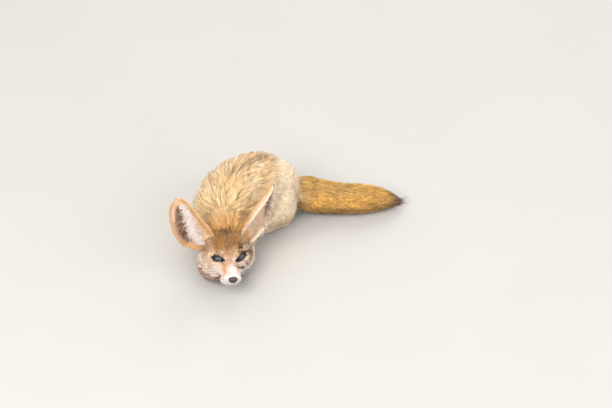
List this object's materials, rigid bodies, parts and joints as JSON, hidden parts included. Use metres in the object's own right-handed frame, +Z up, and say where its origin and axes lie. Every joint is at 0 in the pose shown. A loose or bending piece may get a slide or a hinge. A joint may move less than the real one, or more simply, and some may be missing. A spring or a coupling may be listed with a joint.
{
  "type": "fennec fox",
  "caption": "Life-size fennec fox model, crouched with its body curled, head raised and turned, cupped ears up and its brush laid out behind.",
  "frame": {"origin": "on the floor, under the middle of the fox's bounding box", "axes": "+X from the head's side towards the tail's tip, -Y the way the face looks, +Z up"},
  "size_m": [0.3578, 0.2518, 0.1461],
  "materials": {
    "back_coat": "soft sandy fur with darker streaks",
    "nape_coat": "soft orange-tan fur",
    "pale_coat": "short cream fur",
    "face_coat": "short tan and cream fur",
    "white_coat": "short white fur",
    "ear_coat": "short fur outside, thin fur and a pale fringe inside",
    "tail_coat": "dense golden fur, dark at the tip",
    "nose_leather": "moist, finely pebbled",
    "eye_gloss": "wet gloss"
  },
  "bodies": {
    "root": {"head": "face_coat", "lower_jaw": "white_coat", "nose": "nose_leather", "eye_left": "eye_gloss", "eye_right": "eye_gloss", "ear_left": "ear_coat", "ear_right": "ear_coat", "neck": "nape_coat", "torso": "back_coat", "thigh_left": "pale_coat", "thigh_right": "pale_coat", "tail": "tail_coat", "foreleg_left": "pale_coat", "foreleg_right": "pale_coat", "forepaw_left": "pale_coat", "forepaw_right": "pale_coat", "hind_foot_left": "pale_coat", "hind_foot_right": "pale_coat"}
  },
  "joints": []
}
